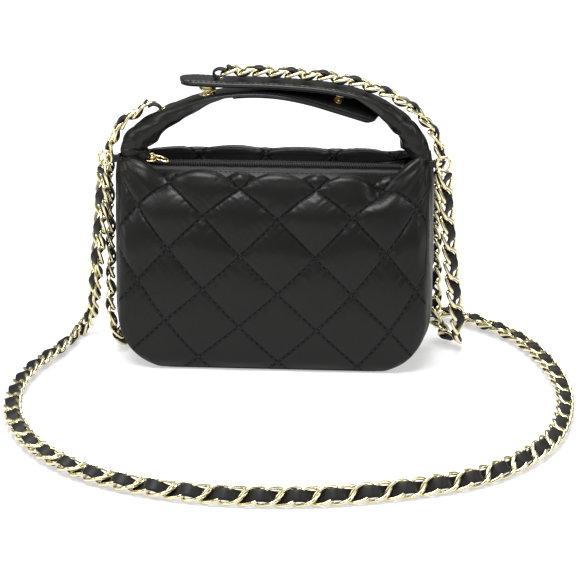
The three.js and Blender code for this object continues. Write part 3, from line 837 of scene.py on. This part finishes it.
def make_walls():
    columns, rows, roll_rows = ((250, 190, 36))
    x, s = wall_grid(columns, rows, roll_rows)
    for wall, side in WALLS:
        points = wall_surface(side, x, s)
        faces = grid_faces(*points.shape[:2])
        if side > 0:
            faces = [f[::-1] for f in faces]
        shell = make_mesh(f"{wall}_quilted_wall", points.reshape(-1, 3), faces, QUILTED_LEATHER)
        quilting = np.stack(lattice(side, x, s), -1).reshape(-1, 2)
        corners = np.array([corner for face in faces for corner in face])
        shell.data.uv_layers.new(name="quilting").data.foreach_set("uv", quilting[corners].ravel())
        settle(shell, "bag", "black_leather", f"{wall}_panel")
        layer_x, layer_s = wall_grid(100, 70, 3)
        layer_x, layer_s = layer_x[:66], layer_s[:66]
        layers = [("padding", 1.6, 3.2, WADDING), ("lining", 3.5, 4.1, LINING_CLOTH)]
        for layer, near, far, material in layers:
            outer = wall_surface(side, layer_x * 0.985, layer_s + MM, lift=-near * MM)
            inner = wall_surface(side, layer_x * 0.985, layer_s + MM, lift=-far * MM)
            sheet = sheet_object(f"{wall}_{layer}_sheet", outer, inner, material, flip=side > 0)
            settle(sheet, "bag", "wadding" if layer == "padding" else "lining_cloth", f"{wall}_{layer}")
        make_stitches(f"{wall}_quilt_stitches", "bag", quilt_lines(side), 4.2 * MM)


make_walls()


# -------- gussets and base
def gusset_surface(side, along, across, depth=0.0):
    """The strip round a lower corner and up the side, at a distance along it and from -1 to 1 across."""
    corner = CORNER_RADIUS * math.pi / 2
    turn = np.minimum(along, corner) / CORNER_RADIUS
    seam_x = HALF_WIDTH - CORNER_RADIUS + CORNER_RADIUS * np.sin(turn)
    seam_z = CORNER_RADIUS * (1 - np.cos(turn)) + np.maximum(0, along - corner)
    half = seam_half_depth(seam_z) - 0.3 * MM
    full = np.minimum(1, seam_z / CORNER_RADIUS) * np.minimum(1, half / (10 * MM))
    edge = (1 - np.abs(across)) * half
    out = 3.2 * MM * full * (1 - across ** 2) - 1.2 * MM * np.exp(-edge / (1.1 * MM)) - depth
    folds = xyz(across * half, along * 0.22, np.full_like(along, 0.1 * side))
    out = out + 0.9 * MM * wobble(folds, 7 * MM, 2.0) * smooth01(edge / (5 * MM)) * full
    return xyz(side * (seam_x + out * np.sin(turn)), across * half, seam_z - out * np.cos(turn))


def make_gussets():
    for end, side in ENDS:
        total = CORNER_RADIUS * math.pi / 2 + top_height(side * HALF_WIDTH) - CORNER_RADIUS - 0.5 * MM
        along = np.linspace(0, total, 150)[:, None]
        across = np.sin(np.linspace(-1, 1, 60) * math.pi / 2)[None, :]
        along, across = np.broadcast_arrays(along, across)
        outer = gusset_surface(side, along, across)
        inner = gusset_surface(side, along, across * 0.97, depth=1.3 * MM)
        gusset = sheet_object(f"gusset_{end}_leather", outer, inner, BLACK_LEATHER, flip=side < 0)
        settle(gusset, "bag", "black_leather", f"gusset_{end}")


make_gussets()


def make_base():
    half_x, half_y = HALF_WIDTH - CORNER_RADIUS, BASE_HALF_DEPTH
    a = np.sin(np.linspace(-1, 1, 90) * math.pi / 2)[:, None]
    b = np.sin(np.linspace(-1, 1, 44) * math.pi / 2)[None, :]
    a, b = np.broadcast_arrays(a, b)
    edge = np.minimum((1 - np.abs(a)) * half_x, (1 - np.abs(b)) * half_y)
    x, y = a * half_x, b * half_y
    sag = 0.15 * MM * wobble(xyz(x, y, 0 * x), 18 * MM, 4.0)
    low = 1.1 * MM * np.exp(-edge / (1.1 * MM)) + sag * smooth01(edge / (8 * MM)) + 0.15 * MM
    outer = xyz(x, y, low)
    inner = xyz(x, y, low * 0 + 1.6 * MM + low * 0.2)
    base = sheet_object("base_leather", inner, outer, BLACK_LEATHER)
    settle(base, "bag", "black_leather", "base_panel")


make_base()

# -------- mouth and zip
ZIP_HEIGHT = 127 * MM
ZIP_HINGE_Y = 9.5 * MM
ZIP_HALF_LENGTH = 81.5 * MM


def make_facings():
    """The smooth leather strips from inside each ridge to the line where the zip is sewn."""
    a = np.linspace(-1, 1, 160)[:, None]
    b = np.linspace(0, 1, 26)[None, :]
    a, b = np.broadcast_arrays(a, b)
    x = a * (ZIP_HALF_LENGTH + 1 * MM)
    radius = roll_radius(x)
    outer_y = half_depth(x, top_height(x)) - 1.75 * radius
    inner_y = ZIP_HINGE_Y + 0.6 * MM
    outer_y = np.maximum(outer_y, inner_y + 0.6 * MM)
    y = outer_y + (inner_y - outer_y) * b
    sag = 1.1 * MM * np.sin(math.pi * b)
    for wall, side in WALLS:
        z = (top_height(x) - ridge_sag(side, x) - 6.2 * MM) * (1 - b) + (ZIP_HEIGHT + 0.7 * MM) * b - sag
        wrinkles = xyz(x, y * 0.4, z * 0 + side)
        lift = 0.5 * MM * wobble(wrinkles, 9 * MM, 6.0) * np.sin(math.pi * b)
        outer = xyz(x, side * y, z + lift)
        inner = outer - vec(0, 0, 1.1 * MM)
        strip = sheet_object(f"mouth_facing_{wall}_leather", outer, inner, BLACK_LEATHER, flip=side < 0)
        settle(strip, "bag", "black_leather", f"mouth_facing_{wall}")
        seam = outer[:, 22]
        normals = np.tile(vec(0, 0, 1), (len(seam), 1))
        make_stitches(f"mouth_stitches_{wall}", "bag", [(seam, normals)], 3.0 * MM, radius=0.25 * MM)


make_facings()


def make_zip_half(wall, side):
    """One half of the zip: a woven tape with a corded edge, and its row of nylon teeth."""
    x = np.linspace(-ZIP_HALF_LENGTH, ZIP_HALF_LENGTH, 200)[:, None]
    b = np.linspace(0, 1, 24)[None, :]
    x, b = np.broadcast_arrays(x, b)
    y = (9.2 - 7.6 * b) * MM
    cord = 0.35 * MM * bell(b - 0.88, 0.09)
    ripple = 0.12 * MM * np.sin(x / (1.9 * MM)) * np.sin(math.pi * b)
    top = xyz(x, side * y, ZIP_HEIGHT + 0.25 * MM + cord + ripple)
    low = xyz(x, side * y, ZIP_HEIGHT - 0.3 * MM + ripple)
    tape = sheet_object(f"{wall}_zip_tape_cloth", top, low, TAPE_CLOTH, flip=side < 0)
    settle(tape, f"{wall}_tape", "tape_cloth", f"{wall}_zip_tape")
    pitch = 1.5 * MM
    count = int(2 * (ZIP_HALF_LENGTH - 1 * MM) / pitch)
    rings, sides = 9, 7
    t = np.linspace(0, 1, rings)
    bend = np.stack([
        0.34 * MM * np.sin(2 * math.pi * t),
        side * (3.0 - 2.0 * np.sin(math.pi * t) ** 0.8) * MM,
        (128.5 - 0.62 * np.cos(math.pi * t)) * MM,
    ], -1)
    along = unit(np.gradient(bend, axis=0))
    first = unit(np.cross(along, vec(1, 0, 0.2)))
    tooth = tube_points(bend, 0.36 * MM, first, np.cross(along, first), sides).reshape(-1, 3)
    first_place = (0.25 if side > 0 else 0.75) * pitch - ZIP_HALF_LENGTH + 1 * MM
    verts = [tooth + vec(first_place + k * pitch, 0, 0) for k in range(count)]
    faces = repeated(tube_faces(rings, sides), count, rings * sides)
    teeth = make_mesh(f"{wall}_zip_coil", np.vstack(verts), faces, NYLON)
    settle(teeth, f"{wall}_tape", "zip_teeth", f"{wall}_zip_teeth")


for wall, side in WALLS:
    make_zip_half(wall, side)


# -------- straps
STRAP_HALF_WIDTH = 10 * MM
BAND_THICKNESS = 2.4 * MM
FOOT_HALF_WIDTH = 7 * MM
STITCH_INSET = 2.2 * MM


class Strap:
    """A strap that goes from a stuffed foot at a horn to a flat band with a round tip.

    Its outer face follows a line in the XZ plane, given as points (x, z) in millimetres.
    """

    def __init__(self, points, foot_first, foot_length, foot_inside, crumple, twist=0.0, stuffing=18 * MM):
        self.route = Route([(x * MM, 0, z * MM) for x, z in points])
        self.foot_first = foot_first
        self.foot_length = foot_length
        self.foot_inside = foot_inside
        self.crumple = crumple
        self.twist = twist
        self.stuffing = stuffing

    def distances(self, s):
        """Distances from the horn and from the tip."""
        other = self.route.length - s
        horn, tip = (s, other) if self.foot_first else (other, s)
        return np.maximum(horn - self.foot_inside, 0), tip

    def buried(self, s):
        """Distance from the end that is inside the bag."""
        return s if self.foot_first else self.route.length - s

    def frame(self, s):
        """Points of the outer face, and the directions across the strap and in through it."""
        inward = unit(np.cross(vec(0, 1, 0), self.route.tangent(s)))
        turn = (self.twist * smooth01((s / self.route.length - 0.55) / 0.3))[:, None]
        across = np.cos(turn) * vec(0, 1, 0) - np.sin(turn) * inward
        return self.route.at(s), across, np.cos(turn) * inward + np.sin(turn) * vec(0, 1, 0)

    def seat(self, x, depth=0.0):
        """A place at x millimetres, a depth below the outer face, and the direction out of the strap."""
        s = np.interp(x * MM, *zip(*sorted(zip(self.route.points[:, 0], self.route.s))))
        point, _, inward = self.frame(np.array([s]))
        return point[0] + depth * inward[0], -inward[0]

    def rolled(self, s):
        return clamp01(1 - self.distances(s)[0] / self.foot_length) ** 1.15

    def thickness(self, s):
        stuffed = 1 - clamp01(self.distances(s)[0] / self.foot_length) ** 1.5
        lumps = np.sin(s / (5.2 * MM)) + 0.6 * np.sin(s / (3.1 * MM))
        swell = 1 + (0.07 if self.foot_first else 0.03) * lumps
        neck = np.minimum(1, 0.6 + self.buried(s) / (30 * MM))
        return BAND_THICKNESS + (self.stuffing - BAND_THICKNESS) * stuffed * swell * neck

    def half(self, s):
        half = STRAP_HALF_WIDTH + (FOOT_HALF_WIDTH - STRAP_HALF_WIDTH) * self.rolled(s)
        return np.minimum(half, self.round_tip(s, STRAP_HALF_WIDTH))

    def round_tip(self, s, radius):
        inside = np.clip(radius - self.distances(s)[1], 0, radius)
        return np.maximum(radius * 0.12, np.sqrt(np.maximum(radius ** 2 - inside ** 2, 0)))

    def spaced(self, count, first=0.0, last=1.0):
        """Distances along the strap, closer together near both ends."""
        share = 0.5 - 0.5 * np.cos(math.pi * np.linspace(0, 1, count))
        return (first + (last - first) * share) * self.route.length

    def surface(self, s, sides):
        point, across, inward = self.frame(s)
        rolled, thick, half = self.rolled(s)[:, None], self.thickness(s)[:, None], self.half(s)[:, None]
        thick = thick * (0.6 + 0.4 * smooth01(self.distances(s)[1] / (3 * MM)))[:, None]
        angle = turns(sides)[None, :]
        power = 0.36 + 0.64 * clamp01(1.6 * rolled)
        sine = np.sin(angle)
        y = half * soft(np.cos(angle), power)
        out = thick / 2 * soft(sine, power)
        groove = bell(np.abs(y) - (STRAP_HALF_WIDTH - STITCH_INSET), 0.6 * MM)
        crown = 0.4 * MM * (1 - (y / STRAP_HALF_WIDTH) ** 2)
        middle = point[:, None] + inward[:, None] * (thick[..., None] / 2)
        shape = middle + inward[:, None] * out[..., None] + across[:, None] * y[..., None]
        spread = unit(shape - middle)
        slack = smooth01(rolled * 1.8)
        slant = np.stack([0.45 * s[:, None] + 0.9 * y, 0.5 * y + 0.6 * out, np.full_like(y, 0.01)], -1)
        folds = self.crumple * (wobble(slant, 5 * MM, 1.0) + 0.4 * wobble(slant, 2 * MM, 4.0)) * slack
        creased_at = 26 * MM if self.foot_first else self.route.length - 24 * MM
        away = np.abs(s[:, None] - 0.55 * y - 0.3 * out - creased_at)
        crease = 1.0 * MM * np.exp(-away / (1.6 * MM)) * slack
        folds = folds - crease + 0.2 * MM * wobble(shape, 12 * MM, 9.0)
        push = np.sign(sine) * (crown - 0.45 * MM * groove) * (1 - slack)
        return shape + spread * folds[..., None] + inward[:, None] * push[..., None]

    def leather_object(self, name):
        strap = loft_object(name, self.surface(self.spaced(190), 64), STRAP_LEATHER)
        strap.data.materials.append(EDGE_PAINT)
        for face in strap.data.polygons:
            if abs(face.center.y) > STRAP_HALF_WIDTH * 0.93 and abs(face.normal.y) > 0.55:
                face.material_index = 1
        return strap

    def lining_object(self, name, first, last):
        """The flat layer under the band, between two shares of the strap's length."""
        s = self.spaced(90, first, last)
        point, across, inward = self.frame(s)
        wide = np.minimum(STRAP_HALF_WIDTH - 1 * MM, self.round_tip(s, STRAP_HALF_WIDTH) - 0.6 * MM)
        angle = turns(36)[None, :]
        y = np.maximum(wide, 1 * MM)[:, None] * soft(np.cos(angle), 0.35)
        deep = self.thickness(s)[:, None] + 0.45 * MM + 0.6 * MM * soft(np.sin(angle), 0.5)
        rings = point[:, None] + inward[:, None] * deep[..., None] + across[:, None] * y[..., None]
        return loft_object(name, rings, STRAP_LEATHER)

    def edge_stitches(self, name, flat_from, body):
        """A row of stitches along both edges of the band and round its tip."""
        radius = STRAP_HALF_WIDTH - STITCH_INSET
        centre = self.route.length - STRAP_HALF_WIDTH if self.foot_first else STRAP_HALF_WIDTH
        foot = flat_from * self.route.length
        turn = np.linspace(-math.pi / 2, math.pi / 2, 30)
        outward = 1 if self.foot_first else -1
        straight = np.linspace(foot, centre, 160)
        s = np.concatenate([straight, centre + outward * radius * np.cos(turn), straight[::-1]])
        y = np.concatenate([np.full(160, -radius), radius * np.sin(turn), np.full(160, radius)])
        point, across, inward = self.frame(s)
        place = point + inward * 0.12 * MM + across * y[:, None]
        make_stitches(name, body, [(place, -inward)], 3.2 * MM, radius=0.27 * MM, sink=0.2 * MM)


under_strap = Strap([
    (-93.5, 119), (-96, 129), (-97.3, 139), (-94, 147), (-85.5, 155), (-73.5, 162.3), (-59, 169),
    (-41, 174.3), (-18, 177.3), (5, 178), (25, 175.4), (45, 169.8), (66, 163.4),
], foot_first=True, foot_length=80 * MM, foot_inside=20 * MM, crumple=1.3 * MM, twist=0.48)
over_strap = Strap([
    (-59, 184.6), (-30, 183.7), (5, 183.0), (40, 179.8), (64, 173.0), (84, 161.5), (94, 149.5), (98, 138),
], foot_first=False, foot_length=64 * MM, foot_inside=0, crumple=0.9 * MM)
right_horn = Strap([
    (84, 161.5), (94, 149.5), (98, 138), (96, 129), (93.5, 119),
], foot_first=False, foot_length=200 * MM, foot_inside=34 * MM, crumple=0.6 * MM, stuffing=9.5 * MM)


def make_straps():
    horn = right_horn.surface(np.linspace(0.45, 1, 60) * right_horn.route.length, 48)
    centre = horn.mean(1, keepdims=True)
    root = loft_object("right_horn_leather", centre + (horn - centre) * 0.93, STRAP_LEATHER)
    lower = under_strap.leather_object("under_strap_leather")
    for piece in (lower, root):
        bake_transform(piece)
    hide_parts("under_strap")
    upper = over_strap.leather_object("over_strap_leather")
    settle(upper, "top_strap", "black_leather", "over_strap")
    under_back = under_strap.lining_object("under_strap_back", 0.53, 0.995)
    settle(under_back, "handle", "black_leather", "under_strap_lining")
    over_back = over_strap.lining_object("over_strap_back", 0.005, 0.62)
    settle(over_back, "top_strap", "black_leather", "over_strap_lining")
    under_strap.edge_stitches("under_strap_stitches", 0.54, "handle")
    over_strap.edge_stitches("over_strap_stitches", 0.66, "top_strap")


make_straps()


# -------- metal fittings
def lathe_object(name, profile, place, axis, material, sides=40):
    """A turned piece from a profile of (radius, height) in millimetres along an axis from a place."""
    profile = np.array(profile, float) * MM
    side = unit(np.cross(vec(0, 1, 0), axis))[None]
    middle = place + profile[:, 1:] * axis
    rings = tube_points(middle, profile[:, :1, None], side, np.cross(axis, side), sides)
    return loft_object(name, rings, material)


def ring_object(name, centre, radius, wire, material, axes, squash=1.0):
    """A closed wire ring in the plane of two axes."""
    rings, sides = 64, 14
    turn = turns(rings)[:, None]
    first, second = (vec(*axis) for axis in axes)
    out = np.cos(turn) * first + np.sin(turn) * second
    middle = vec(*centre) * MM + radius * MM * (np.cos(turn) * first + squash * np.sin(turn) * second)
    tube = tube_points(middle, wire * MM, out, np.cross(first, second)[None], sides)
    return make_mesh(name, tube.reshape(-1, 3), hoop_faces(rings, sides), material)


def block_object(name, low, high, material, power=0.3, count=28):
    """A block with soft edges between two corners given in millimetres."""
    low, high = vec(*low) * MM, vec(*high) * MM
    polar = np.linspace(-math.pi / 2, math.pi / 2, count)[:, None]
    angle = turns(2 * count)[None, :]
    wide = np.cos(polar) ** 0.25
    x, y = wide * soft(np.cos(angle), power), wide * soft(np.sin(angle), power)
    shape = xyz(x, y, soft(np.sin(polar), power) * np.ones_like(angle))
    return loft_object(name, (low + high) / 2 + shape * (high - low) / 2, material)


# Profiles of (radius, height) in millimetres.
EYELET = [
    (1.9, -3.0), (1.9, 0.2), (2.1, 0.38), (2.5, 0.42), (3.0, 0.3), (3.3, 0.1), (3.2, -0.1), (2.6, -0.15),
    (2.6, -3.0),
]
SOCKET = [
    (0.1, 0.1), (4.9, 0.1), (5.3, -0.2), (5.3, -0.8), (4.9, -1.2), (4.3, -1.4), (4.3, -2.1), (4.9, -2.3),
    (5.4, -2.7), (5.4, -3.3), (5.0, -3.7), (3.6, -3.8), (2.3, -3.7), (2.1, -3.0), (0.1, -2.9),
]
STUD = [
    (0.1, 0.0), (4.9, 0.0), (5.3, 0.2), (5.3, 0.6), (4.9, 0.95), (3.6, 1.1), (2.6, 1.15), (2.1, 1.3),
    (1.75, 1.5), (1.8, 1.8), (1.75, 2.1), (1.4, 2.3), (0.8, 2.42), (0.1, 2.45),
]
# The right snap is a smaller, flatter pair.
FLAT_SOCKET = [(0.85 * radius, 0.45 * height) for radius, height in SOCKET]
FLAT_STUD = [(0.6 * radius, 0.45 * height) for radius, height in STUD]


def make_fittings():
    below = BAND_THICKNESS + 0.8 * MM
    pieces = [
        ("under_eyelet", EYELET, under_strap.seat(-71), "handle"),
        ("over_eyelet", EYELET, over_strap.seat(-33), "top_strap"),
        ("snap_socket_left", SOCKET, over_strap.seat(-41.5, below), "top_strap"),
        ("snap_socket_right", FLAT_SOCKET, over_strap.seat(42, below), "top_strap"),
        ("snap_stud_left", STUD, under_strap.seat(-41.5), "handle"),
        ("snap_stud_right", FLAT_STUD, under_strap.seat(40), "handle"),
    ]
    for node, profile, (place, axis), body in pieces:
        piece = lathe_object(f"{node}_gold", profile, place, axis, PALE_GOLD)
        settle(piece, body, "gold_metal", node)
    upright = [(1, 0, 0), (0, 0, 1)]
    for end, side in ENDS:
        centre = (side * 106.5, -5.2, 132.5)
        ring = ring_object(f"ring_{end}_gold", centre, 4.2, 0.9, PALE_GOLD, upright, squash=1.06)
        settle(ring, "bag", "gold_metal", f"ring_{end}")
        tabs = [
            (f"ring_tab_{end}", (97.0, 103.2), (-6.0, -2.4), (130.0, 134.4)),
            (f"zip_end_{end}", (82.0, 92.0), (-5.6, 5.6), (126.0, 128.3)),
        ]
        for node, reach, depth, height in tabs:
            low, high = zip(sorted(side * x for x in reach), depth, height)
            tab = block_object(f"{node}_leather", low, high, STRAP_LEATHER)
            settle(tab, "bag", "black_leather", node)


make_fittings()


def join_objects(name, parts, material):
    """One object from several."""
    verts, faces = [], []
    for part in parts:
        start = len(verts)
        verts += [tuple(v.co) for v in part.data.vertices]
        faces += [tuple(i + start for i in face.vertices) for face in part.data.polygons]
        mesh = part.data
        bpy.data.objects.remove(part)
        bpy.data.meshes.remove(mesh)
    return make_mesh(name, verts, faces, material)


def make_slider():
    """The slider, which has a wing, a nose and a bridge, and its pull, which has an eye and a wire leaf."""
    wing = block_object("wing", (-83.5, -3.6, 129.5), (-74.5, 3.6, 130.9), PALE_GOLD, power=0.55)
    nose = block_object("nose", (-84.0, -2.2, 128.6), (-81.5, 2.2, 131.4), PALE_GOLD, power=0.6)
    upright = [(1, 0, 0), (0, 0, 1)]
    bridge = ring_object("bridge", (-78, 0, 131.8), 2.7, 0.7, PALE_GOLD, upright, squash=0.95)
    slider = join_objects("zip_slider_gold", [wing, nose, bridge], PALE_GOLD)
    settle(slider, "slider", "gold_metal", "zip_slider")
    flat = [(1, 0, 0), (0, 1, 0)]
    eye = ring_object("eye", (-77.2, 0, 132.3), 1.7, 0.55, PALE_GOLD, flat, squash=1.3)
    lean = math.radians(-32)
    axes = [(math.cos(lean), math.sin(lean), -0.17), (-math.sin(lean), math.cos(lean), 0)]
    leaf = ring_object("leaf", (-71.2, -3.0, 131.9), 5.2, 0.75, PALE_GOLD, axes, squash=0.46)
    pull = join_objects("pull_tab_gold", [eye, leaf], PALE_GOLD)
    settle(pull, "pull", "gold_metal", "pull_tab")


make_slider()


def lace_loop(name, points, body, width=2.6, thick=0.8):
    """A short flat leather lace along a route that ties a chain's end into an eyelet."""
    route = Route(millimetres(points), step=0.3 * MM)
    s = np.linspace(0, route.length, 60)
    across = vec(0, 1, 0)
    up = np.cross(route.tangent(s), across)
    wide = width * MM * soft(np.cos(turns(14)), 0.5)[None, :, None]
    deep = thick * MM * soft(np.sin(turns(14)), 0.7)[None, :, None]
    lace = loft_object(name, route.at(s)[:, None] + wide * across + deep * up[:, None], LACE_LEATHER)
    settle(lace, body, "woven_chain")


lace_loop("lace_loop_top", [
    (-33, 0, 180), (-34.5, 0, 183.8), (-37.4, 0, 186.2), (-37.6, 0, 188.6), (-34.6, 0, 190.4),
    (-30.6, 0, 189.8), (-28, 0, 188.6),
], "top_strap")
lace_loop("lace_loop_under", [
    (-69.5, 0, 158), (-70.4, 0, 161.5), (-71.6, 0, 164.6), (-73.8, 0, 166.4), (-76.6, 0, 166.6),
    (-79, 0, 165.2),
], "handle")

# -------- pieces kept from the CAD
HIDDEN_MATERIALS = {
    "gusset_lining_left": LINING_CLOTH, "gusset_lining_right": LINING_CLOTH, "base_lining": LINING_CLOTH,
    "base_board": BOARD,
}
for node, material in HIDDEN_MATERIALS.items():
    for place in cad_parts[node].material_slots:
        place.material = material
